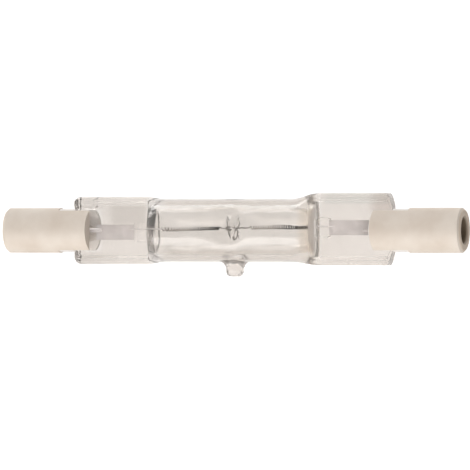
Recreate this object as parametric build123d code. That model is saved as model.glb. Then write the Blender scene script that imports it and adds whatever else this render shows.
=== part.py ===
from build123d import *
import math
import os

# Double-ended linear halogen bulb, in millimetres.
# It is drawn along X with the light centre at the origin, the flat faces of its pinch seals square to Z
# and its exhaust tip towards -Y. At the end it is rolled about X until the tube and the tip both touch
# the surface that the bulb lies on, as a loose bulb comes to rest.

# Overall
overall_length = 78.3

# Ceramic caps
cap_diameter = 7.4
cap_length = 14.8
cap_edge_chamfer = 0.4
seat_angle = 7.4
slot_width = 3.4
slot_depth = 5.6
recess_depth = 1.7
recess_diameter = 4.2
recess_chamfer = 0.35

# Contacts
button_diameter = 3.6
button_thickness = 1.0
shank_diameter = 1.8
shank_length = 3.0
contact_clearance = 0.05

# Quartz tube and its cavity
tube_diameter = 10.4
tube_wall = 1.1
cavity_taper = 1.7
cavity_end_thickness = 4.8

# Pinch seals, each a web between two rims
left_pinch_gap = 2.55
right_pinch_gap = 2.75
left_pinch_length = 13.2
right_pinch_length = 13.8
left_pinch_width = 11.1
right_pinch_width = 12.1
right_pinch_offset = 0.1
pinch_start = 0.2
web_thickness = 2.5
rim_thickness = 3.3
rim_width = 1.3
rim_radius = 0.58
corner_length = 0.9
left_corner_width = 0.9
right_corner_width = 2.3
left_shoulder_length = 1.4
right_shoulder_length = 2.8
shoulder_lip_length = 0.7
shoulder_lip_thickness = 8.6
shoulder_tail_thickness = 2.0
shoulder_steps = 4
bead_length = 3.9
bead_width = 2.2
bead_thickness = 3.1
bead_radius = 0.9
pad_gap = 0.6
pad_length = 2.2
pad_width = 3.2
pad_height = 0.35
pad_draft = 35

# Exhaust tip
tip_length = 2.5
tip_root_diameter = 3.4
tip_end_diameter = 3.0
tip_end_chamfer = 0.6
tip_flare = 0.7

# Dimples that grip the filament support
dimple_length = 4.6
dimple_width = 1.2
dimple_depth = 1.8
dimple_centre = 0.45

# Foils and leads
foil_length = 6.8
foil_width = 2.5
foil_thickness = 0.08
weld_length = 1.0
outer_lead_diameter = 0.7
inner_lead_diameter = 0.25
left_foil_offset = -0.3
right_foil_offset = 0.45

# Filament, one wire
filament_wire = 0.15
coil_diameter = 0.75
coil_pitch = 0.65
coil_steps = 8
coil_exit = 0.3
left_coil_gap = 1.8
right_coil_gap = 0.4
middle_leg = 5.6
left_coil_height = 0.2
right_coil_height = 0.65
lead_insertion = 0.8

# Filament support
support_wire = 0.3
support_turns = 3
support_pitch = 0.34
ring_steps = 16
ring_place = 0.85
ring_lean = 0.5
ring_gap = 30
support_clearance = 0.03

# Cement
cement_diameter = 7.1
cement_recess = 0.3
cement_bulge = 0.9

# Values that follow
cap_radius = cap_diameter / 2
recess_radius = recess_diameter / 2
tube_radius = tube_diameter / 2
cavity_radius = tube_radius - tube_wall
cap_end = overall_length / 2
seat_face = cap_end - cap_length
slot_bottom = seat_face + slot_depth
contact_face = cap_end - recess_depth
button_seat = contact_face - button_thickness
shank_end = button_seat - shank_length
shank_hole_radius = shank_diameter / 2 + contact_clearance
left_pinch_end = slot_bottom - left_pinch_gap
right_pinch_end = slot_bottom - right_pinch_gap
left_cavity_end = left_pinch_end - left_pinch_length
right_cavity_end = right_pinch_end - right_pinch_length
left_foil_start = left_cavity_end + pad_gap + pad_length
right_foil_start = right_cavity_end + pad_gap + pad_length
ridge_face = tube_radius - dimple_depth - tube_wall
ring_radius = ridge_face - support_clearance - support_wire / 2
left_coil_start = left_cavity_end - left_coil_gap
right_coil_start = right_cavity_end - right_coil_gap
coil_end = middle_leg / 2
coil_radius = (coil_diameter - filament_wire) / 2
tip_reach = tube_radius + tip_length


def corner_of(profile, x, y):
    """The corner of a flat profile that lies nearest to a point."""
    return profile.vertices().sort_by_distance((x, y, 0))[0]


def turned_over(piece):
    """A piece of the right end, as it sits on the left end."""
    return Rot(0, 180, 0) * piece


def wire_along_x(start, end, height, diameter):
    """Straight round wire between two places on X."""
    return Pos((start + end) / 2, height, 0) * Rot(0, 90, 0) * Cylinder(diameter / 2, abs(end - start))


def ceramic_cap():
    """Slotted insulator of the right end: a turned body, a stepped bore for the contact, a slot for the pinch."""
    inner_end = seat_face - cap_radius
    profile = make_face(Polyline(
        (inner_end, shank_hole_radius),
        (button_seat, shank_hole_radius),
        (button_seat, button_diameter / 2 + contact_clearance),
        (contact_face, button_diameter / 2 + contact_clearance),
        (contact_face, recess_radius),
        (cap_end - recess_chamfer, recess_radius),
        (cap_end, recess_radius + recess_chamfer),
        (cap_end, cap_radius),
        (inner_end, cap_radius),
        close=True,
    ))
    profile = chamfer(corner_of(profile, cap_end, cap_radius), cap_edge_chamfer)
    body = revolve(profile, axis=Axis.X)
    inwards = (Align.MAX, Align.CENTER, Align.CENTER)
    seat_cut = Box(2 * cap_length, 2 * cap_diameter, 2 * cap_diameter, align=inwards)
    slot_cut = Box(2 * cap_length, 2 * cap_diameter, slot_width, align=inwards)
    return body - Pos(seat_face, 0, 0) * Rot(0, -seat_angle, 0) * seat_cut - Pos(slot_bottom, 0, 0) * slot_cut


def contact():
    """Metal contact of the right end: a button under the recess and a shank whose end takes the lead."""
    return revolve(make_face(Polyline(
        (shank_end, 0),
        (contact_face, 0),
        (contact_face, button_diameter / 2),
        (button_seat, button_diameter / 2),
        (button_seat, shank_diameter / 2),
        (shank_end, shank_diameter / 2),
        close=True,
    )), axis=Axis.X)


def foil(side, start, offset):
    """Thin foil in the middle plane of a pinch, from its inner end outwards."""
    return Pos(side * (start + foil_length / 2), offset, 0) * Box(foil_length, foil_width, foil_thickness)


def weld_flat(side, start, height, diameter):
    """What is ground off a lead, so that its upper half lies on the foil."""
    flat = Box(weld_length, 2 * diameter, 2 * diameter, align=(Align.CENTER, Align.CENTER, Align.MAX))
    return Pos(side * (start + weld_length / 2), height, foil_thickness / 2) * flat


def outer_lead(side, foil_start):
    """Wire from the foil through the cap to the shank of the contact."""
    weld_start = foil_start + foil_length - weld_length
    wire = wire_along_x(side * weld_start, side * shank_end, 0, outer_lead_diameter)
    return wire - weld_flat(side, weld_start, 0, outer_lead_diameter)


def inner_lead(side, foil_start, coil_start, height):
    """Thin wire from the foil into the open end of a coil."""
    wire = wire_along_x(side * (foil_start + weld_length), side * (coil_start - lead_insertion), height,
                        inner_lead_diameter)
    return wire - weld_flat(side, foil_start, height, inner_lead_diameter)


def filament_height(x):
    """Height of the filament's axis, which climbs from the left lead to the right one."""
    share = (x + left_coil_start) / (left_coil_start + right_coil_start)
    return left_coil_height + share * (right_coil_height - left_coil_height)


def winding(start, end, turns, radius):
    """Points of a coil round the filament's axis, evenly spaced round each turn."""
    count = turns * coil_steps
    points = []
    for index in range(count + 1):
        angle = 2 * math.pi * index / coil_steps
        x = start + (end - start) * index / count
        points.append((x, filament_height(x) + radius * math.cos(angle), radius * math.sin(angle)))
    return points


def coil(start, end):
    """Points of one section of the filament's coil."""
    return winding(start, end, round((end - start) / coil_pitch), coil_radius)


def swept_wire(points, size):
    """Square wire along straight runs with mitred corners."""
    path = Polyline(*points)
    section = Plane(origin=path @ 0, z_dir=path % 0) * Rectangle(size, size)
    return sweep(section, path=path, transition=Transition.RIGHT)


def filament():
    """The filament: a coil, a straight leg on the axis and a second coil, wound from one wire."""
    leg_start = coil_exit - coil_end
    leg_end = coil_end - coil_exit
    leg = [(leg_start, filament_height(leg_start), 0), (leg_end, filament_height(leg_end), 0)]
    left = coil(-left_coil_start, -coil_end)
    right = coil(coil_end, right_coil_start)
    return swept_wire(left + leg + right, filament_wire)


def filament_support():
    """Wire wound tightly on the straight leg, which opens into a leaning ring held by the dimples."""
    hub_radius = (filament_wire * math.sqrt(2) + support_wire * math.sqrt(2)) / 2 + support_clearance
    hub_length = support_turns * support_pitch
    points = winding(-ring_place - hub_length, -ring_place, support_turns, hub_radius)
    hub_height = filament_height(-ring_place)
    spiral_steps = ring_steps // 2
    for index in range(1, spiral_steps + 1):
        share = ease(index, 0, spiral_steps)
        angle = math.pi * index / spiral_steps
        radius = hub_radius + share * (ring_radius - hub_radius)
        height = hub_height + share * (dimple_centre - hub_height)
        x = share * ring_lean - ring_place
        points.append((x, height + radius * math.cos(angle), radius * math.sin(angle)))
    for index in range(1, ring_steps - round(ring_steps * ring_gap / 360) + 1):
        angle = math.pi + 2 * math.pi * index / ring_steps
        x = -ring_place - ring_lean * math.cos(angle)
        points.append((x, dimple_centre + ring_radius * math.cos(angle), ring_radius * math.sin(angle)))
    return swept_wire(points, support_wire)


def ease(value, start, end):
    """Rises smoothly from 0 at start to 1 at end."""
    share = min(1, max(0, (value - start) / (end - start)))
    return share * share * (3 - 2 * share)


def oval(x, height, half_width, half_thickness):
    """Oval cross-section of the envelope, square to X."""
    return Plane(origin=(x, height, 0), x_dir=(0, 1, 0), z_dir=(1, 0, 0)) * Ellipse(half_width, half_thickness)


def shoulder(side, cavity_end, length, pinch_width, pinch_offset):
    """Glass between the round tube and the flat pinch: it tapers and widens to a lip, then steps down."""
    start = cavity_end - length
    root = cavity_end + shoulder_lip_length
    tail_half_width = (pinch_width - rim_radius) / 2
    ovals = []
    for step in range(shoulder_steps + 1):
        x = start + length * step / shoulder_steps
        widening = ease(x, start, root)
        half_width = tube_radius + widening * (tail_half_width - tube_radius)
        half_thickness = tube_radius + ease(x, start, cavity_end) * (shoulder_lip_thickness / 2 - tube_radius)
        ovals.append(oval(side * x, widening * pinch_offset, half_width, half_thickness))
    ovals.append(oval(side * root, pinch_offset, tail_half_width, shoulder_tail_thickness / 2))
    return loft(ovals, ruled=True)


def pinch(side, cavity_end, end, width, corner_width):
    """Flat seal: a web, a thick rounded rim along both long edges and cropped outer corners."""
    root = cavity_end + pinch_start
    middle = Pos(side * (root + end) / 2, 0, 0)
    seal = middle * Box(end - root, width - rim_width, web_thickness)
    rim = extrude(Plane.YZ * RectangleRounded(rim_width, rim_thickness, rim_radius), (end - root) / 2, both=True)
    for edge in (-1, 1):
        seal += middle * Pos(0, edge * (width - rim_width) / 2, 0) * rim
    outline = make_face(Polyline(
        (side * root, -width / 2),
        (side * (end - corner_length), -width / 2),
        (side * end, corner_width - width / 2),
        (side * end, width / 2 - corner_width),
        (side * (end - corner_length), width / 2),
        (side * root, width / 2),
        close=True,
    ))
    return seal & extrude(outline, rim_thickness, both=True)


def weld_pad(side, cavity_end, offset):
    """Low rectangular pad on both faces of a pinch, over the weld of lead and foil."""
    half_pad = extrude(Pos(0, 0, web_thickness / 2) * Rectangle(pad_length, pad_width), pad_height, taper=pad_draft)
    return Pos(side * (cavity_end + pad_gap + pad_length / 2), offset, 0) * both_faces(half_pad)


def exhaust_tip():
    """Sealed-off stub of the exhaust tube, flared into the tube's wall."""
    root_radius = tip_root_diameter / 2
    end_radius = tip_end_diameter / 2
    profile = make_face(Polyline(
        (0, tip_flare - tube_radius),
        (root_radius + tip_flare, tip_flare - tube_radius),
        (root_radius, -tube_radius - tip_flare / 2),
        (end_radius, tip_end_chamfer - tip_reach),
        (end_radius - tip_end_chamfer, -tip_reach),
        (0, -tip_reach),
        close=True,
    ))
    return revolve(profile, axis=Axis.Y)


def dimple(grow):
    """One dimple pressed into the upper side of the tube, grown by the wall's thickness for its inner face."""
    radius = dimple_width / 2 + grow
    length = dimple_length + 2 * grow
    round_bottom = Rot(90, 0, 0) * Cylinder(radius, length)
    above = Box(2 * radius, length, tube_radius, align=(Align.CENTER, Align.CENTER, Align.MIN))
    return Pos(0, dimple_centre, tube_radius - dimple_depth + dimple_width / 2) * (round_bottom + above)


def both_faces(piece):
    """A feature of the upper side of the tube with its mirror image on the lower side."""
    return piece + mirror(piece, about=Plane.XY)


def cavity():
    """Gas space of the tube, flattened at both ends by the press and pushed in by the dimples."""
    space = wire_along_x(-left_cavity_end, right_cavity_end, 0, 2 * cavity_radius)
    for side, end in ((-1, left_cavity_end), (1, right_cavity_end)):
        flattening = make_face(Polyline(
            (side * (end - cavity_taper), cavity_radius),
            (side * end, cavity_end_thickness / 2),
            (side * end, cavity_radius),
            close=True,
        ))
        space -= both_faces(extrude(Plane.XZ * flattening, cavity_radius, both=True))
    return space - both_faces(dimple(tube_wall))


def bead():
    """Glass squeezed out at the outer end of the left pinch's upper edge."""
    section = RectangleRounded(bead_width, bead_thickness, bead_radius)
    bar = extrude(Plane.YZ * section, bead_length / 2, both=True)
    return Pos(bead_length / 2 - left_pinch_end, (left_pinch_width - bead_width) / 2, 0) * bar


def envelope_body():
    """Outer form of the quartz envelope, still solid."""
    body = wire_along_x(
        left_shoulder_length - left_cavity_end,
        right_cavity_end - right_shoulder_length,
        0, tube_diameter)
    body += shoulder(-1, left_cavity_end, left_shoulder_length, left_pinch_width, 0)
    body += shoulder(1, right_cavity_end, right_shoulder_length, right_pinch_width, right_pinch_offset)
    body += pinch(-1, left_cavity_end, left_pinch_end, left_pinch_width, left_corner_width)
    right_pinch = pinch(1, right_cavity_end, right_pinch_end, right_pinch_width, right_corner_width)
    body += Pos(0, right_pinch_offset, 0) * right_pinch
    body += weld_pad(-1, left_cavity_end, left_foil_offset)
    body += weld_pad(1, right_cavity_end, right_foil_offset)
    body += bead()
    body += exhaust_tip()
    return body - both_faces(dimple(0))


def cement(body, lead):
    """Cement of the right end: it fills the cap's slot round the pinch and bulges out beside the long finger."""
    tilt = math.tan(math.radians(seat_angle)) * slot_width / 2
    half_width = cement_diameter / 2
    short_front = seat_face + tilt + cement_recess
    long_front = seat_face - tilt
    short_side = Polyline(
        (slot_bottom, half_width), (short_front, half_width), (short_front, -half_width), (slot_bottom, -half_width),
        close=True)
    front = ThreePointArc((long_front + cement_recess, half_width), (long_front - cement_bulge, 0),
                          (long_front + cement_recess, -half_width))
    long_side = Polyline(front @ 1, (slot_bottom, -half_width), (slot_bottom, half_width), front @ 0)
    fill = extrude(make_face(short_side), -slot_width / 2) + extrude(make_face([front, long_side]), slot_width / 2)
    rounding = wire_along_x(long_front - cement_bulge, slot_bottom, 0, cement_diameter)
    return (fill & rounding) - body - lead


def rest_roll():
    """Angle by which the bulb rolls until its tube and its tip's end touch the same plane."""
    reach = tip_reach - tip_end_chamfer
    spread = tip_end_diameter / 2
    lean = math.atan2(spread, reach) + math.acos(tube_radius / math.hypot(reach, spread))
    return 90 - math.degrees(lean)


def lamp():
    """Every piece of the bulb by name, before it is rolled."""
    body = envelope_body()
    pieces = {
        "left_foil": foil(-1, left_foil_start, left_foil_offset),
        "right_foil": foil(1, right_foil_start, right_foil_offset),
        "left_outer_lead": outer_lead(-1, left_foil_start),
        "right_outer_lead": outer_lead(1, right_foil_start),
        "left_inner_lead": inner_lead(-1, left_foil_start, left_coil_start, left_coil_height),
        "right_inner_lead": inner_lead(1, right_foil_start, right_coil_start, right_coil_height),
    }
    envelope = body - cavity()
    for sealed_in in pieces.values():
        envelope -= sealed_in
    pieces["quartz_envelope"] = envelope
    pieces["filament"] = filament()
    pieces["filament_support"] = filament_support()
    pieces["right_ceramic_cap"] = ceramic_cap()
    pieces["left_ceramic_cap"] = turned_over(ceramic_cap())
    pieces["right_contact"] = contact()
    pieces["left_contact"] = turned_over(contact())
    pieces["right_cement"] = cement(body, pieces["right_outer_lead"])
    pieces["left_cement"] = turned_over(cement(turned_over(body), turned_over(pieces["left_outer_lead"])))
    return pieces


os.makedirs("parts", exist_ok=True)
for name, piece in lamp().items():
    export_step(Rot(rest_roll(), 0, 0) * piece, f"parts/{name}.step")
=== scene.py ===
import math
from typing import NamedTuple

import bpy
import numpy as np
from mathutils import Matrix, Vector, noise


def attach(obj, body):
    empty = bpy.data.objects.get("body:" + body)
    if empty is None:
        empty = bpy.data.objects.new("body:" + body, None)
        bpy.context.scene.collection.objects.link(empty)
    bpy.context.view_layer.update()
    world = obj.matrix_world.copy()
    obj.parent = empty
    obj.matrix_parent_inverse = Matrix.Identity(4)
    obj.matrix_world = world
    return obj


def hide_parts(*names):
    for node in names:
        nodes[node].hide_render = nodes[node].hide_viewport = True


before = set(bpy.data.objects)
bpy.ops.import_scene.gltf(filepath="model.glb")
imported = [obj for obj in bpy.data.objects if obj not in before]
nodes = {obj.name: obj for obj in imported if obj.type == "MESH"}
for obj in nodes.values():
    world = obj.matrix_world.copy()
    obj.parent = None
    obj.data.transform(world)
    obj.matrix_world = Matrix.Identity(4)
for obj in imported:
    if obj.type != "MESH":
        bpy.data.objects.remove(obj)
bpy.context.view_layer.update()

# Millimetres in the bulb's own frame: X along it, Z square to the flat pinches, the exhaust tip
# towards -Y.
MM = 0.001
TUBE_RADIUS = 5.2
CAVITY_RADIUS = 4.1
TIP_REACH = 7.7
TIP_END_RADIUS = 1.5
TIP_CHAMFER = 0.6
# Radius at which the tube's flat side walls turn inwards at an end of the cavity.
BEND = 1.7


class Pinch(NamedTuple):
    """The measures of one pinch seal and of the shoulder between it and the tube."""

    side: int
    cavity_end: float
    end: float
    half_width: float
    # How far the outer corners are cut back.
    corner: float
    # Where the tube starts and stops widening.
    widening: tuple
    pad_y: float
    # Length over which the shoulder falls to the web.
    fall: float


LEFT = Pinch(side=-1, cavity_end=14.2, end=27.4, half_width=5.55, corner=0.9,
             widening=(11.9, 14.9), pad_y=-0.3, fall=0.7)
RIGHT = Pinch(side=1, cavity_end=13.4, end=27.2, half_width=5.95, corner=2.3,
              widening=(9.4, 14.9), pad_y=0.45, fall=1.4)
# How far the right pinch lies above the tube's axis.
RIGHT_OFFSET = 0.2


def rest_roll():
    """Roll about X at which the tube and the tip's end touch one plane."""
    reach = TIP_REACH - TIP_CHAMFER
    lean = (math.atan2(TIP_END_RADIUS, reach)
            + math.acos(TUBE_RADIUS / math.hypot(reach, TIP_END_RADIUS)))
    return math.pi / 2 - lean


ROLL = Matrix.Rotation(rest_roll(), 4, "X")
TO_WORLD = ROLL @ Matrix.Scale(MM, 4)


def ease(value, start, end):
    """Rises smoothly from 0 at start to 1 at end."""
    share = np.clip((value - start) / (end - start), 0, 1)
    return share * share * (3 - 2 * share)


def plateau(value, half, edge):
    """1 within half of zero, falling smoothly to 0 over the edge outside it."""
    return 1 - ease(np.abs(value), half, half + edge)


def ripple(x, y, z, size, seed):
    """Smooth noise between about -1 and 1, with lumps of the given size."""
    points = np.stack(np.broadcast_arrays(x / size + seed, y / size, z / size), axis=-1)
    flat = [noise.noise(Vector(p)) for p in points.reshape(-1, 3)]
    return np.array(flat).reshape(points.shape[:-1])


def object_from(name, vertices, faces, material):
    """A smooth-shaded mesh object in the lamp's place, from points in millimetres."""
    mesh = bpy.data.meshes.new(name)
    mesh.from_pydata([tuple(v) for v in vertices], [], faces)
    mesh.transform(TO_WORLD)
    mesh.materials.append(material)
    mesh.update()
    mesh.validate()
    piece = bpy.data.objects.new(name, mesh)
    bpy.context.scene.collection.objects.link(piece)
    mesh.shade_smooth()
    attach(piece, "root")
    return piece


# Shader nodes

WHITE = (1, 1, 1)


def new_material(name):
    """A material with its node tree and its shader."""
    material = bpy.data.materials.new(name)
    material.use_nodes = True
    tree = material.node_tree
    shader = tree.nodes["Principled BSDF"]
    return material, tree, shader


def node(tree, kind, **values):
    """A new node, with its input sockets set by name."""
    made = tree.nodes.new(kind)
    for key, value in values.items():
        made.inputs[key.replace("_", " ")].default_value = value
    return made


def feed(tree, value, socket):
    """Links an output to a socket, or sets the socket to a plain value."""
    if isinstance(value, bpy.types.NodeSocket):
        tree.links.new(value, socket)
    else:
        socket.default_value = value


def noise_texture(tree, scale, detail=3.0, roughness=0.5, stretch=(1, 1, 1)):
    """Noise in the object's own coordinates, in lumps per metre."""
    place = tree.nodes.new("ShaderNodeTexCoord")
    mapping = node(tree, "ShaderNodeMapping", Scale=stretch)
    texture = node(tree, "ShaderNodeTexNoise", Scale=scale, Detail=detail, Roughness=roughness)
    tree.links.new(place.outputs["Object"], mapping.inputs["Vector"])
    tree.links.new(mapping.outputs["Vector"], texture.inputs["Vector"])
    return texture.outputs["Fac"]


def place_along(tree, axis):
    """The place along one of the lamp's own axes, before it is rolled to its rest."""
    place = tree.nodes.new("ShaderNodeTexCoord")
    product = tree.nodes.new("ShaderNodeVectorMath")
    product.operation = "DOT_PRODUCT"
    product.inputs[1].default_value = ROLL.to_3x3() @ Vector(axis)
    tree.links.new(place.outputs["Object"], product.inputs[0])
    return product.outputs["Value"]


def lamp_places(tree):
    """The places along X, along the pinches' width and square to the pinches."""
    return [place_along(tree, axis) for axis in ((1, 0, 0), (0, 1, 0), (0, 0, 1))]


def between(tree, factor, low, high, start=0.3, end=0.7):
    """A value that goes from low to high while a factor goes from start to end."""
    mapped = node(tree, "ShaderNodeMapRange",
                  From_Min=start, From_Max=end, To_Min=low, To_Max=high)
    tree.links.new(factor, mapped.inputs["Value"])
    return mapped.outputs["Result"]


def rising(tree, place, start, end, top=1):
    """0 before start and top after end, both in millimetres."""
    return between(tree, place, 0, top, start * MM, end * MM)


def falling(tree, place, start, end, top=1):
    """Top before start and 0 after end, both in millimetres."""
    return between(tree, place, top, 0, start * MM, end * MM)


def combined(tree, operation, *values):
    """Values put together by one operation."""
    made = tree.nodes.new("ShaderNodeMath")
    made.operation = operation
    for socket, value in zip(made.inputs, values):
        feed(tree, value, socket)
    return made.outputs["Value"]


def size_of(tree, value):
    """A value without its sign."""
    return combined(tree, "ABSOLUTE", value)


def multiplied(tree, first, *others):
    """The product of some values."""
    for other in others:
        first = combined(tree, "MULTIPLY", first, other)
    return first


def highest(tree, first, *others):
    """The highest of some values."""
    for other in others:
        first = combined(tree, "MAXIMUM", first, other)
    return first


def blend_colours(tree, factor, first, second, start=0.3, end=0.7):
    """A colour that goes from the first to the second while a factor goes from start to end."""
    ramp = tree.nodes.new("ShaderNodeValToRGB")
    ramp.color_ramp.elements[0].position = start
    ramp.color_ramp.elements[0].color = (*first, 1)
    ramp.color_ramp.elements[1].position = end
    ramp.color_ramp.elements[1].color = (*second, 1)
    tree.links.new(factor, ramp.inputs["Fac"])
    return ramp.outputs["Color"]


def mixed(tree, share, first, second, blend="MIX"):
    """A share of the second colour over the first."""
    both = tree.nodes.new("ShaderNodeMixRGB")
    both.blend_type = blend
    feed(tree, share, both.inputs["Fac"])
    feed(tree, first, both.inputs["Color1"])
    feed(tree, second, both.inputs["Color2"])
    return both.outputs["Color"]


def tinted(tree, colour, tint):
    """One colour seen through another."""
    return mixed(tree, 1.0, colour, tint, "MULTIPLY")


def tint_patch(tree, colour, share, tint):
    """Tints a colour where the share is 1 and leaves it where the share is 0."""
    return tinted(tree, colour, blend_colours(tree, share, WHITE, tint, 0, 1))


def added_shaders(tree, first, second):
    """The sum of two shaders."""
    both = tree.nodes.new("ShaderNodeAddShader")
    tree.links.new(first, both.inputs[0])
    tree.links.new(second, both.inputs[1])
    return both.outputs["Shader"]


def bump(tree, shader, height, strength, distance):
    """Feeds a height into the shader's normal."""
    made = node(tree, "ShaderNodeBump", Strength=strength, Distance=distance)
    tree.links.new(height, made.inputs["Height"])
    tree.links.new(made.outputs["Normal"], shader.inputs["Normal"])


# Opaque materials

def solid_material(name, first, second, scale, rough, metallic=0.0, grain=4000,
                   grain_depth=0.00002, stretch=(1, 1, 1), strength=0.5):
    """An opaque material whose colour, roughness and surface vary."""
    material, tree, shader = new_material(name)
    shader.inputs["Metallic"].default_value = metallic
    tone = noise_texture(tree, scale, 4)
    tree.links.new(blend_colours(tree, tone, first, second), shader.inputs["Base Color"])
    fine = noise_texture(tree, grain, 3, 0.6, stretch)
    tree.links.new(between(tree, fine, *rough), shader.inputs["Roughness"])
    bump(tree, shader, fine, strength, grain_depth)
    return material


def base_colour(material):
    """A material's tree, its base colour's socket and what feeds it."""
    tree = material.node_tree
    socket = tree.nodes["Principled BSDF"].inputs["Base Color"]
    return tree, socket, socket.links[0].from_socket


def painted(material, share, colour):
    """Covers a material's colour with another one, by a share that varies over it."""
    tree, socket, bare = base_colour(material)
    tree.links.new(mixed(tree, share, bare, (*colour, 1)), socket)


def paint_cap_light_and_shade(material):
    """Paints shade into a cap's recesses and onto its end faces, and paints light onto its far
    finger.
    """
    tree, socket, colour = base_colour(material)
    x, height, toward = lamp_places(tree)
    reach = size_of(tree, x)
    square = combined(tree, "ADD", multiplied(tree, height, height),
                      multiplied(tree, toward, toward))
    radius = combined(tree, "SQRT", square)
    # Painted shade: browns the bore at each end, where little light gets in, and darkens the end
    # faces, which face away from the light.
    recess_shade = multiplied(tree, falling(tree, radius, 2.12, 2.5), rising(tree, reach, 36.0, 37.0))
    colour = tint_patch(tree, colour, recess_shade, (0.26, 0.22, 0.17))
    colour = tint_patch(tree, colour, rising(tree, reach, 38.95, 39.05), (0.93, 0.87, 0.80))
    tree.links.new(colour, socket)
    # Painted light: pales the far finger's inner end, which lies in shade behind the glass.
    finger_light = multiplied(tree, falling(tree, reach, 26.0, 26.4),
                         falling(tree, toward, -0.8, -0.4))
    painted(material, finger_light, (0.95, 0.93, 0.91))


def paint_coil_light(material):
    """Painted light: pales the half of each coil that lies further left."""
    tree = material.node_tree
    x = place_along(tree, (1, 0, 0))
    left = falling(tree, x, -8.0, -6.0)
    right = multiplied(tree, falling(tree, x, 6.5, 9.0), rising(tree, x, 2.4, 2.6))
    painted(material, highest(tree, left, right), (0.34, 0.31, 0.28))


def paint_foil_end_shade(material):
    """Painted shade: darkens the right foil towards its cap, which shades it."""
    tree = material.node_tree
    x = place_along(tree, (1, 0, 0))
    painted(material, rising(tree, x, 20.8, 22.8, 0.5), (0.25, 0.23, 0.22))


# Quartz material

def quartz_colour(tree, cloud):
    """The glass's colour: cloudy, and tinted in patches fixed to places on the lamp, among them
    painted shade and painted light.
    """
    x, height, toward = lamp_places(tree)
    reach = size_of(tree, x)
    off_axis = size_of(tree, height)

    # Painted light: the glass in front of the left cap's far finger stays as clear as the tube, so
    # that the shaded finger shows paler through it.
    finger = multiplied(tree, rising(tree, x, -26.4, -25.6), falling(tree, x, -23.4, -22.8),
                        falling(tree, off_axis, 3.2, 3.7))
    seals = multiplied(tree, rising(tree, reach, 14.0, 15.0),
                       between(tree, finger, 1, -0.2, 0, 1))
    # A painted dark reflection on the flat end of the gas space, densest above the filament.
    painted_end_dark = multiplied(tree, rising(tree, x, -14.7, -14.5), falling(tree, x, -14.15, -14.05),
                      between(tree, height, 0.1, 1, -1.0 * MM, 0.8 * MM),
                      falling(tree, size_of(tree, toward), 1.9, 2.6),
                      falling(tree, height, 3.9, 4.6), rising(tree, height, -4.2, -3.2))
    # The upper inner part of the left pinch.
    shade = multiplied(tree, falling(tree, x, -15.5, -14.7), rising(tree, x, -22.0, -20.5),
                       rising(tree, height, -0.5, 1.5), falling(tree, height, 3.8, 4.4))
    # Painted shade along the tube's edges, where the glass is seen through its full depth.
    edge_shade = multiplied(tree, falling(tree, reach, 11.5, 13.0), rising(tree, off_axis, 3.9, 4.5),
                       rising(tree, height, -5.6, -5.1))
    tip = falling(tree, height, -5.6, -5.1)
    right_rim = multiplied(tree, rising(tree, x, 14.8, 15.8), rising(tree, height, 4.2, 4.6))
    right_corner = multiplied(tree, rising(tree, x, 22.6, 24.4), rising(tree, height, 2.6, 3.4))
    # Painted shade: a warm brown on the right shoulder.
    shoulder_shade = multiplied(tree, rising(tree, x, 11.5, 12.8), falling(tree, x, 13.7, 14.4))

    colour = blend_colours(tree, cloud, (0.753, 0.727, 0.70), (0.807, 0.783, 0.759))
    for share, tint in (
            (seals, (0.903, 0.875, 0.851)),
            (painted_end_dark, (0.0012, 0.0009, 0.0006)),
            (shade, (0.84, 0.83, 0.82)),
            (edge_shade, (0.79, 0.75, 0.71)),
            (tip, (0.93, 0.90, 0.88)),
            (right_rim, (0.90, 0.92, 0.92)),
            (right_corner, (0.84, 0.80, 0.78)),
            (shoulder_shade, (0.97, 0.92, 0.86))):
        colour = tint_patch(tree, colour, share, tint)
    return colour


def quartz_roughness(tree, cloud):
    """The glass's roughness: slight, and frosted where hot glass was pressed, drawn or cut."""
    frosted = 0.3
    x, height, _ = lamp_places(tree)
    shoulder = multiplied(tree, rising(tree, x, 12.4, 13.8, 1.2), falling(tree, x, 14.1, 15.3))
    tip = falling(tree, height, -5.3, -4.6, 0.8)
    dimple = multiplied(tree, rising(tree, x, -1.6, -1.1, 0.4), falling(tree, x, 0.1, 0.6))
    ends = rising(tree, size_of(tree, x), 26.5, 26.9, 0.6)
    frost = highest(tree, shoulder, tip, dimple, ends)
    return combined(tree, "MULTIPLY_ADD", frost, frosted, between(tree, cloud, 0.0, 0.05))


def quartz_material():
    """Clear quartz: faintly warm in its depth, wavy, and letting the lamps' light through."""
    material, tree, shader = new_material("clear_quartz")
    shader.inputs["Transmission Weight"].default_value = 1.0
    shader.inputs["IOR"].default_value = 1.46
    cloud = noise_texture(tree, 260, 3)
    tree.links.new(quartz_colour(tree, cloud), shader.inputs["Base Color"])
    tree.links.new(quartz_roughness(tree, cloud), shader.inputs["Roughness"])
    bump(tree, shader, noise_texture(tree, 420, 2), 0.25, 0.0002)

    output = tree.nodes["Material Output"]
    absorption = node(tree, "ShaderNodeVolumeAbsorption", Color=(0.66, 0.54, 0.42, 1),
                      Density=25.0)
    haze = node(tree, "ShaderNodeVolumeScatter", Color=(0.97, 0.93, 0.88, 1), Density=40.0)
    depth = added_shaders(tree, absorption.outputs["Volume"], haze.outputs["Volume"])
    tree.links.new(depth, output.inputs["Volume"])

    # Shadow rays pass almost unchanged, so that the leads and the floor are lit through the glass.
    clear = node(tree, "ShaderNodeBsdfTransparent", Color=(0.99, 0.985, 0.98, 1))
    path = tree.nodes.new("ShaderNodeLightPath")
    mix = tree.nodes.new("ShaderNodeMixShader")
    tree.links.new(path.outputs["Is Shadow Ray"], mix.inputs["Fac"])
    tree.links.new(shader.outputs["BSDF"], mix.inputs[1])
    tree.links.new(clear.outputs["BSDF"], mix.inputs[2])
    tree.links.new(mix.outputs["Shader"], output.inputs["Surface"])
    return material


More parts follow.
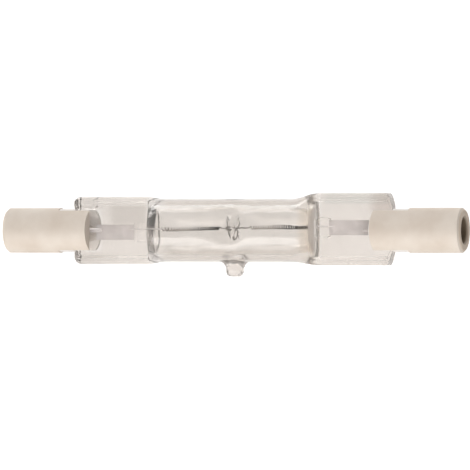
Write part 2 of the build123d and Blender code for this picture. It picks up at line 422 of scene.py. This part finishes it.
quartz = quartz_material()
ceramic = solid_material("fired_ceramic", (0.72, 0.622, 0.53), (0.815, 0.732, 0.645), 220,
                         (0.5, 0.75), grain=5200, grain_depth=0.00003)
paint_cap_light_and_shade(ceramic)
paste = solid_material("dried_cement", (0.90, 0.86, 0.82), (0.95, 0.92, 0.89), 700, (0.7, 0.95),
                       grain=2600, grain_depth=0.0001, strength=0.8)
# Painted shade: the contacts are coloured far darker than bare nickel, so that the bores they sit
# in show dark.
shaded_nickel = solid_material("satin_nickel_painted_dark", (0.07, 0.06, 0.05), (0.14, 0.12, 0.10), 900, (0.35, 0.6),
                        metallic=1.0, grain=6000, stretch=(1, 1, 6))
molybdenum = solid_material("rolled_molybdenum", (0.67, 0.645, 0.65), (0.80, 0.775, 0.78), 500,
                            (0.4, 0.6), metallic=1.0, grain=900, grain_depth=0.0001,
                            stretch=(1, 3, 3), strength=0.2)
paint_foil_end_shade(molybdenum)
bright_tungsten = solid_material("bright_tungsten", (0.26, 0.25, 0.24), (0.42, 0.4, 0.38), 1500,
                                 (0.3, 0.5), metallic=1.0, grain=8000)
tungsten = solid_material("drawn_tungsten", (0.04, 0.035, 0.03), (0.09, 0.08, 0.07), 1500,
                          (0.4, 0.6), metallic=1.0, grain=8000)
paint_coil_light(tungsten)


def dress(names, material):
    """Gives kept CAD nodes their material."""
    for name in names:
        piece = nodes[name]
        piece.data.materials.clear()
        piece.data.materials.append(material)


# Quartz envelope

RIM_RADIUS = 0.58
# Half thickness of a rim below its rounding, how much thinner the web is, and the depths in from
# the edge between which the one falls to the other.
RIM_WALL = 1.07
WEB_STEP = 0.4
WEB_SLOPE = (0.95, 1.4)
# The fine groove that runs along a rim, at this depth in from the edge.
GROOVE_PLACE = 0.72
GROOVE_WIDTH = 0.12
GROOVE_DEPTH = 0.07
CORNER_LENGTH = 0.95
# The weld pad, at this distance from the end of the cavity.
PAD_PLACE = 1.7
PAD_HALF_LENGTH = 0.95
PAD_HALF_WIDTH = 1.4
PAD_HEIGHT = 0.35
BEAD_RADIUS = 1.1
BEAD_LENGTH = 3.9
BEAD_HALF_THICKNESS = 1.95
# Length over which the bead rises out of the rim.
BEAD_RISE = 0.8
# Power by which the shoulder and the seal blend: a higher one gives a sharper crease.
CREASE = 5
# The pinches' ends are rounded over this length, and lose this share of their thickness.
END_ROUNDING = 0.4
END_LOSS = 0.6
DIMPLE_DEPTH = 1.8
DIMPLE_Y = 0.45
# The wide shallow hollow round a dimple.
HOLLOW_DEPTH = 1.2
HOLLOW_LENGTH = 2.6
HOLLOW_WIDTH = 2.8
# The dimple's groove is narrower outside the tube than inside it.
OUTER_RIDGE = 0.85
INNER_RIDGE = 1.2
# The rippled skin stays this little inside the solid's size.
SNUG = 0.9965
# Points in one ring of the outer face and of the gas space.
OUTER_POINTS = 280
CAVITY_POINTS = 120


def rim_profile(depth):
    """Half thickness of a pinch at a depth in from its edge: a rounded rim, then the web."""
    corner = np.clip(RIM_RADIUS - depth, 0, RIM_RADIUS)
    crest = RIM_WALL + np.sqrt(np.maximum(RIM_RADIUS ** 2 - corner ** 2, 0))
    groove = GROOVE_DEPTH * np.exp(-((depth - GROOVE_PLACE) / GROOVE_WIDTH) ** 2)
    return crest - WEB_STEP * ease(depth, *WEB_SLOPE) - groove


def half_width(x):
    """Half width of the envelope, seen square to the flat pinches."""
    width = np.full_like(x, TUBE_RADIUS)
    for pinch in (LEFT, RIGHT):
        along = pinch.side * x
        width += (pinch.half_width - TUBE_RADIUS) * ease(along, *pinch.widening)
        crop = np.clip((along - pinch.end + CORNER_LENGTH) / CORNER_LENGTH, 0, 1)
        width -= pinch.corner * crop ** 1.6
    return width


def middle(x):
    """Height of the envelope's middle, which the right pinch leaves a little."""
    return RIGHT_OFFSET * ease(x, *RIGHT.widening)


def resting_thickness(reach):
    """Half thickness at which an oval of this reach still clears the surface below the bulb."""
    lean = math.sin(rest_roll())
    return np.sqrt((TUBE_RADIUS ** 2 - (lean * reach) ** 2) / (1 - lean ** 2))


def bend(along, pinch):
    """How far the tube's flat side walls have turned inwards near a cavity's end."""
    depth = np.clip((along - pinch.cavity_end + BEND) / BEND, 0, 1)
    return BEND * (1 - np.sqrt(1 - depth ** 2))


def weld_pad(along, y, pinch):
    """The raised pad over the weld of the inner lead."""
    return (PAD_HEIGHT * plateau(along - pinch.cavity_end - PAD_PLACE, PAD_HALF_LENGTH, 0.15)
            * plateau(y - pinch.pad_y, PAD_HALF_WIDTH, 0.18))


def bead(along, y, pinch):
    """The round bead at the left pinch's upper corner."""
    height = np.clip((y - pinch.half_width + BEAD_RADIUS) / BEAD_RADIUS, -1, 1)
    reach = np.clip((along - (pinch.end - BEAD_LENGTH)) / BEAD_RISE, 0, 1)
    return BEAD_HALF_THICKNESS * np.sqrt(1 - height ** 2) * np.sqrt(reach * (2 - reach))


def crumple(x, y):
    """Small ripples below the dimple and at the outer corners of the pinches."""
    below = (0.08 * ripple(x, y, 0 * x, 0.45, 5.7) * np.exp(-(x / 0.9) ** 2)
             * ease(-y, -3.4, -2.6) * ease(y, -5.1, -4.3))
    corners = (0.07 * ripple(x, y, 0 * x, 0.6, 9.1) * ease(np.abs(x), 23.6, 25.4)
               * ease(np.abs(y), 3.2, 4.0) * (1 - ease(np.abs(x), 26.4, 26.8)))
    return below + corners


def half_thickness(x, y):
    """Half thickness of the envelope at a place."""
    width = half_width(x)
    across = y - middle(x)
    share = np.clip(across / width, -1, 1)
    total = np.zeros_like(y)
    for pinch in (RIGHT, LEFT):
        along = pinch.side * x
        fall = ease(along, pinch.cavity_end, pinch.cavity_end + pinch.fall)
        thickness = resting_thickness(width + middle(x)) - bend(along, pinch)
        shoulder = thickness * (1 - fall) * np.sqrt(1 - share ** 2)
        onset = ease(along, pinch.widening[0] + 0.6, pinch.cavity_end + 0.4)
        seal = onset * rim_profile(width - np.abs(across)) + weld_pad(along, y, pinch)
        if pinch is LEFT:
            seal = np.maximum(seal, bead(along, y, pinch))
        joined = (shoulder ** CREASE + seal ** CREASE) ** (1 / CREASE)
        rounding = np.clip((along - pinch.end + END_ROUNDING) / END_ROUNDING, 0, 1)
        joined = joined * (1 - END_LOSS * (1 - np.sqrt(1 - rounding ** 2)))
        total = np.where(along >= 0, joined, total)
    return total - dent(x, y, OUTER_RIDGE) + crumple(x, y)


def dent(x, y, ridge):
    """How far the pressing tool pushed one side in: a shallow hollow with a narrow groove."""
    hollow = HOLLOW_DEPTH * np.exp(-(x / HOLLOW_LENGTH) ** 2
                                   - ((y - DIMPLE_Y) / HOLLOW_WIDTH) ** 2)
    groove = np.exp(-(x / ridge) ** 2) * plateau(y - DIMPLE_Y, 1.0, 1.8)
    return hollow + (DIMPLE_DEPTH - HOLLOW_DEPTH) * groove


def resample(points, count):
    """Points spaced evenly along a polyline, its first one kept and its last one left out."""
    steps = np.hypot(*np.diff(points, axis=0).T)
    length = np.concatenate(([0], np.cumsum(steps)))
    wanted = np.linspace(0, length[-1], count, endpoint=False)
    return np.stack([np.interp(wanted, length, points[:, k]) for k in (0, 1)], axis=1)


def stations():
    """Places along X of the envelope's rings, closest where its form changes most."""
    # Each run: its start, its end and the step between its rings.
    runs = ((-26.9, -23.9, 0.3), (-23.9, -22.9, 0.15), (-22.9, -17.2, 0.35),
            (-17.2, -15.5, 0.13), (-15.5, -13.1, 0.06), (-13.1, -11.9, 0.15),
            (-11.9, -2.9, 0.4), (-2.9, 2.9, 0.092), (2.9, 10.2, 0.4),
            (10.2, 12.0, 0.15), (12.0, 14.5, 0.06), (14.5, 16.5, 0.13),
            (16.5, 26.2, 0.35), (26.2, 26.7, 0.1))
    places = []
    for start, end, step in runs:
        places.extend(np.arange(start, end - step / 2, step))
    end_length = 0.5
    turn = np.linspace(0, math.pi / 2, 9)
    left = -LEFT.end + end_length * (1 - np.sin(turn))
    right = RIGHT.end - end_length * (1 - np.sin(turn))
    return np.concatenate((left[::-1], places, right))


def tip_profile(share):
    """Distance from the tip's axis and height above the tube, at a share of the way out."""
    # Each row: share, distance, height.
    rows = np.array(((0, 0, 2.5), (0.16, 0.8, 2.49), (0.25, 1.22, 2.36), (0.32, 1.44, 2.05),
                     (0.42, 1.5, 1.5), (0.53, 1.56, 1.0), (0.64, 1.7, 0.58),
                     (0.76, 1.98, 0.25), (0.88, 2.3, 0.07), (1, 2.6, 0)))
    fine = np.linspace(0, 1, 81)
    window = 9
    distance, height = (
        np.convolve(np.pad(np.interp(fine, rows[:, 0], rows[:, k]), window // 2, "edge"),
                    np.ones(window) / window, "valid")
        for k in (1, 2))
    distance = distance - distance[0] * (1 - fine)
    return np.interp(share, fine, distance), np.interp(share, fine, height)


def tip_point(x, y, z):
    """Draws the surface near the tip's axis out into the sealed stub."""
    reach = 2.6
    tiny = 1e-6
    radial = np.hypot(x, z)
    near = (radial < reach) & (y < 0)
    distance, height = tip_profile(np.clip(radial / reach, 0, 1))
    grow = np.where(near & (radial > tiny), distance / np.maximum(radial, tiny), 1)
    new_x = x * grow
    new_z = z * grow
    base = -np.sqrt(np.maximum(TUBE_RADIUS ** 2 - new_z ** 2, 0))
    wrinkle = 0.15 * ripple(new_x * 1.6, height, new_z * 1.6, 0.5, 7.3)
    lumps = ripple(new_x, height * 1.4, new_z, 0.6, 3.9)
    swell = 0.99 + 0.1 * lumps * np.clip(height * 3, 0, 1)
    new_y = base - height - (wrinkle - 0.1) * np.clip(height * 2, 0, 1)
    return (np.where(near, new_x * swell, x), np.where(near, new_y, y),
            np.where(near, new_z * swell, z))


def outer_surface(count):
    """Rings of points of the envelope's outer face."""
    rings = []
    turn = np.linspace(0, math.pi, 420)
    for place in stations():
        width = float(half_width(np.array([place]))[0])
        level = float(middle(place))
        y = level + width * np.cos(turn)
        z = half_thickness(np.full_like(y, place), y)
        upper = np.stack((y, z), axis=1)
        lower = np.stack((y[::-1], -z[::-1]), axis=1)
        right = np.array([[level + width, 0.0]])
        left = np.array([[level - width, 0.0]])
        first = resample(np.concatenate((right, upper, left)), count // 2)
        second = resample(np.concatenate((left, lower, right)), count // 2)
        ring = np.concatenate((first, second))
        rings.append(np.column_stack((np.full(count, place), ring)))
    return np.array(rings)


def cavity_surface(count):
    """Rings of points of the gas space, narrowing to a lens-shaped face at either end."""
    coarse = np.arange(-11.8, 11.4, 0.25)
    coarse = coarse[np.abs(coarse) > 2.6]
    fine = np.arange(-2.6, 2.65, 0.12)
    # The rings crowd towards the ends, where the wall turns fastest.
    rounded = 1.8 * (1 - np.sin(np.linspace(0, math.pi / 2, 14)))
    ends = [pinch.side * (pinch.cavity_end - rounded) for pinch in (LEFT, RIGHT)]
    places = np.unique(np.concatenate((coarse, fine, *ends)))
    share = np.cos(np.linspace(0, math.pi, 300))
    y = CAVITY_RADIUS * share
    rings = []
    for place in places:
        pinch = LEFT if place < 0 else RIGHT
        height = CAVITY_RADIUS - bend(abs(place), pinch)
        taper = (CAVITY_RADIUS - height) / BEND
        profile = height * (1 - share ** 2) ** (0.5 + 0.3 * taper)
        z = np.maximum(profile - dent(np.full_like(y, place), y, INNER_RIDGE), 0)
        first = resample(np.stack((y, z), axis=1), count // 2)
        second = resample(np.stack((-y, -z[::-1]), axis=1), count // 2)
        ring = np.concatenate((first, second))
        rings.append(np.column_stack((np.full(count, place), ring)))
    return np.array(rings)


def end_cap(ring, bulge):
    """Rings that close an end ring on its middle, bulging out along X."""
    steps = 6
    centre = ring.mean(axis=0)
    made = []
    for step in range(1, steps):
        share = 1 - step / steps
        shrunk = centre + (ring - centre) * share
        shrunk[:, 0] = ring[:, 0] + bulge * (1 - share ** 2)
        made.append(shrunk)
    return made


def stitch(rings, inwards=False):
    """Vertices and faces of a skin over rings of equal length, with a point at either end."""
    count = rings[0].shape[0]
    vertices = [point for ring in rings for point in ring]
    first = len(vertices)
    vertices.append(rings[0].mean(axis=0))
    vertices.append(rings[-1].mean(axis=0))
    faces = []
    for row in range(len(rings) - 1):
        for k in range(count):
            nxt = (k + 1) % count
            a, b = row * count + k, row * count + nxt
            faces.append((a, b, b + count, a + count))
    last = (len(rings) - 1) * count
    for k in range(count):
        nxt = (k + 1) % count
        faces.append((first, nxt, k))
        faces.append((first + 1, last + k, last + nxt))
    if inwards:
        faces = [face[::-1] for face in faces]
    return vertices, faces


def quartz_envelope():
    """The envelope as one piece of glass round its gas space."""
    outer = np.stack(tip_point(*np.moveaxis(outer_surface(OUTER_POINTS), -1, 0)), axis=-1)
    wave = 0.035 * ripple(outer[..., 0] * 0.6, outer[..., 1], outer[..., 2], 2.6, 3.1)
    outer[..., 2] += wave * np.sign(outer[..., 2]) * np.clip(np.abs(outer[..., 2]), 0, 1)
    outer[..., 1:] *= SNUG
    inner = cavity_surface(CAVITY_POINTS)
    wave = 0.05 * ripple(inner[..., 0] * 0.5, inner[..., 1], inner[..., 2], 2.2, 11.7)
    inner[..., 2] += wave * np.sign(inner[..., 2])
    bulge = 0.25
    rings = end_cap(inner[0], -bulge)[::-1] + list(inner) + end_cap(inner[-1], bulge)
    outside, outside_faces = stitch(list(outer))
    inside, inside_faces = stitch(rings, inwards=True)
    start = len(outside)
    faces = outside_faces + [tuple(k + start for k in face) for face in inside_faces]
    piece = object_from("clear_quartz_envelope", outside + inside, faces, quartz)
    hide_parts("quartz_envelope")


# Filament and its support

COIL_END = 2.8
LEFT_COIL, RIGHT_COIL = -12.4, 13.0
# Heights of the filament's axis at its left and right ends.
LEFT_LEVEL, RIGHT_LEVEL = 0.2, 0.65
FILAMENT_WIRE_RADIUS = 0.085
SUPPORT_WIRE_RADIUS = 0.11
# Radius of the support's turns on the straight leg, and of its ring.
TURN_RADIUS = 0.26
RING_RADIUS = 2.12
# The ring's middle along X, and how far it leans to either side.
RING_PLACE = -0.7
RING_LEAN = 0.5


def filament_y(x):
    """Height of the filament's axis, which climbs from the left lead to the right one."""
    climb = RIGHT_LEVEL - LEFT_LEVEL
    return LEFT_LEVEL + climb * (x - LEFT_COIL) / (RIGHT_COIL - LEFT_COIL)


def helix(start, end, pitch, radius, steps, stretch=0.0):
    """Points of a coil round the filament's axis, with its first turns stretched."""
    turns = round((end - start) / pitch)
    index = np.arange(turns * steps + 1)
    share = index / (turns * steps)
    x = start + (end - start) * share * (1 + stretch * (1 - share))
    turn = 2 * math.pi * index / steps
    return np.stack((x, filament_y(x) + radius * np.cos(turn), radius * np.sin(turn)), axis=1)


def wire(name, points, radius, sides, material):
    """A round wire along a line of points, with closed ends."""
    points = [Vector(p) for p in points]
    rings = []
    across = None
    for k, point in enumerate(points):
        ahead = (points[min(k + 1, len(points) - 1)] - points[max(k - 1, 0)]).normalized()
        if across is None:
            across = ahead.orthogonal().normalized()
        across = (across - ahead * across.dot(ahead)).normalized()
        up = ahead.cross(across)
        ring = []
        for s in range(sides):
            turn = 2 * math.pi * s / sides
            ring.append(point + radius * (math.cos(turn) * across + math.sin(turn) * up))
        rings.append(np.array(ring))
    vertices, faces = stitch(rings)
    return object_from(name, vertices, faces, material)


def filament():
    """One fine wire: two coils joined by a straight leg."""
    leg_end = COIL_END - 0.4
    left = helix(LEFT_COIL, -COIL_END, pitch=0.35, radius=0.27, steps=14, stretch=0.5)
    right = helix(COIL_END, RIGHT_COIL, pitch=0.34, radius=0.28, steps=14, stretch=0.35)
    leg = [(x, filament_y(x), 0) for x in (-leg_end, 0, leg_end)]
    piece = wire("coiled_filament", np.concatenate((left, leg, right)), FILAMENT_WIRE_RADIUS, 6,
                 tungsten)
    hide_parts("filament")


def support():
    """Wire wound on the straight leg, opening into a leaning ring that rests on the dimples."""
    points = list(helix(RING_PLACE - 1.02, RING_PLACE, pitch=0.34, radius=TURN_RADIUS, steps=16))
    opening = 32
    level = filament_y(RING_PLACE)
    for index in range(1, opening + 1):
        share = float(ease(index, 0, opening))
        turn = math.pi * index / opening
        radius = TURN_RADIUS + share * (RING_RADIUS - TURN_RADIUS)
        height = level + share * (DIMPLE_Y - level)
        points.append((RING_PLACE + share * RING_LEAN, height + radius * math.cos(turn),
                       radius * math.sin(turn)))
    around = 64
    gap = 5
    for index in range(1, around - gap + 1):
        turn = math.pi + 2 * math.pi * index / around
        points.append((RING_PLACE - RING_LEAN * math.cos(turn),
                       DIMPLE_Y + RING_RADIUS * math.cos(turn), RING_RADIUS * math.sin(turn)))
    piece = wire("filament_ring", points, SUPPORT_WIRE_RADIUS, 10, bright_tungsten)
    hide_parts("filament_support")


quartz_envelope()
filament()
support()
dress(("left_ceramic_cap", "right_ceramic_cap"), ceramic)
dress(("left_cement", "right_cement"), paste)
dress(("left_contact", "right_contact"), shaded_nickel)
dress(("left_foil", "right_foil", "left_outer_lead", "right_outer_lead",
       "left_inner_lead", "right_inner_lead"), molybdenum)


# Floor, light and camera

FLOOR_HALF_SIZE = 30.0
FLOOR_TONE = 0.62
FLOOR_GLOW = 0.70
# Shares of the way across the studio between which it darkens, as light and as it is seen.
LIT_EDGE = (0.65, 0.95)
SEEN_EDGE = (0.6, 0.92)
# The camera looks square to the flat pinches, turned by this yaw, and sees this width.
YAW = math.radians(16.3)
LENS = 700.0
SENSOR = 36.0
VIEW_WIDTH = 77.43 * MM
TARGET = Vector((-0.01, -0.76, 0))
# Light is caught for long in thick clear glass.
BOUNCES = 48


def make_floor():
    """A wide floor that keeps the bulb's shadow, and looks pale also in gloss and through glass."""
    level = -TUBE_RADIUS * MM
    corners = [(x * FLOOR_HALF_SIZE, y * FLOOR_HALF_SIZE, level)
               for x, y in ((-1, -1), (1, -1), (1, 1), (-1, 1))]
    mesh = bpy.data.meshes.new("floor")
    mesh.from_pydata(corners, [], [(0, 1, 2, 3)])
    floor = bpy.data.objects.new("floor", mesh)
    bpy.context.scene.collection.objects.link(floor)
    material, tree, shader = new_material("pale_floor")
    shader.inputs["Base Color"].default_value = (FLOOR_TONE, FLOOR_TONE, FLOOR_TONE, 1)
    shader.inputs["Roughness"].default_value = 0.9
    shader.inputs["Specular IOR Level"].default_value = 0.0
    path = tree.nodes.new("ShaderNodeLightPath")
    looked_at = highest(tree, path.outputs["Is Camera Ray"], path.outputs["Is Glossy Ray"],
                        path.outputs["Is Transmission Ray"])
    glow = node(tree, "ShaderNodeEmission", Color=(*WHITE, 1))
    tree.links.new(multiplied(tree, looked_at, FLOOR_GLOW), glow.inputs["Strength"])
    both = added_shaders(tree, shader.outputs["BSDF"], glow.outputs["Emission"])
    tree.links.new(both, tree.nodes["Material Output"].inputs["Surface"])
    mesh.materials.append(material)


def make_world():
    """A soft pale studio: white where it is looked at, pale in gloss and glass, dimmer as light."""
    world = bpy.data.worlds.new("studio")
    bpy.context.scene.world = world
    world.use_nodes = True
    tree = world.node_tree
    place = tree.nodes.new("ShaderNodeTexCoord")
    split = tree.nodes.new("ShaderNodeSeparateXYZ")
    tree.links.new(place.outputs["Generated"], split.inputs["Vector"])
    across = between(tree, split.outputs["X"], 0, 1, -1, 1)
    overhead = blend_colours(tree, split.outputs["Z"], (0.66, 0.65, 0.64), (0.38, 0.375, 0.37),
                             0.0, 0.9)
    lit = tinted(tree, overhead, blend_colours(tree, across, WHITE, (0.2, 0.2, 0.2), *LIT_EDGE))
    seen = blend_colours(tree, across, (0.95, 0.94, 0.93), (0.8, 0.78, 0.76), *SEEN_EDGE)
    path = tree.nodes.new("ShaderNodeLightPath")
    bounced = highest(tree, path.outputs["Is Glossy Ray"], path.outputs["Is Transmission Ray"])
    colour = mixed(tree, bounced, lit, seen)
    colour = mixed(tree, path.outputs["Is Camera Ray"], colour, (*WHITE, 1))
    tree.links.new(colour, tree.nodes["Background"].inputs["Color"])


def area_light(name, direction, distance, width, height, power, colour=WHITE):
    """A soft lamp, long side level, aimed at the bulb."""
    lamp = bpy.data.lights.new(name, "AREA")
    lamp.shape = "RECTANGLE"
    lamp.size = width
    lamp.size_y = height
    lamp.energy = power
    lamp.color = colour
    holder = bpy.data.objects.new(name, lamp)
    bpy.context.scene.collection.objects.link(holder)
    away = Vector(direction).normalized()
    holder.location = away * distance
    holder.rotation_euler = away.to_track_quat("Z", "Y").to_euler()


def make_camera():
    """A long lens square to the flat pinches, turned a little towards the right end."""
    camera = bpy.data.cameras.new("camera")
    camera.lens = LENS
    camera.sensor_width = SENSOR
    holder = bpy.data.objects.new("camera", camera)
    bpy.context.scene.collection.objects.link(holder)
    turn = ROLL.to_3x3()
    back = turn @ Vector((math.sin(YAW), 0, math.cos(YAW)))
    up = turn @ Vector((0, 1, 0))
    right = up.cross(back)
    place = Matrix((right, up, back)).transposed().to_4x4()
    place.translation = turn @ TARGET * MM + back * (LENS / SENSOR * VIEW_WIDTH)
    holder.matrix_world = place
    bpy.context.scene.camera = holder


make_floor()
make_world()
area_light("key", (-0.15, -0.95, 0.2), distance=2.7, width=4.0, height=1.6, power=72.0,
           colour=(1.0, 0.99, 0.98))
area_light("back", (-0.2, 0.85, 0.5), distance=3.0, width=4.0, height=1.0, power=58.0)
make_camera()
bpy.context.scene.view_settings.view_transform = "Standard"
bpy.context.scene.cycles.max_bounces = BOUNCES
bpy.context.scene.cycles.transmission_bounces = BOUNCES
bpy.context.scene.cycles.glossy_bounces = BOUNCES
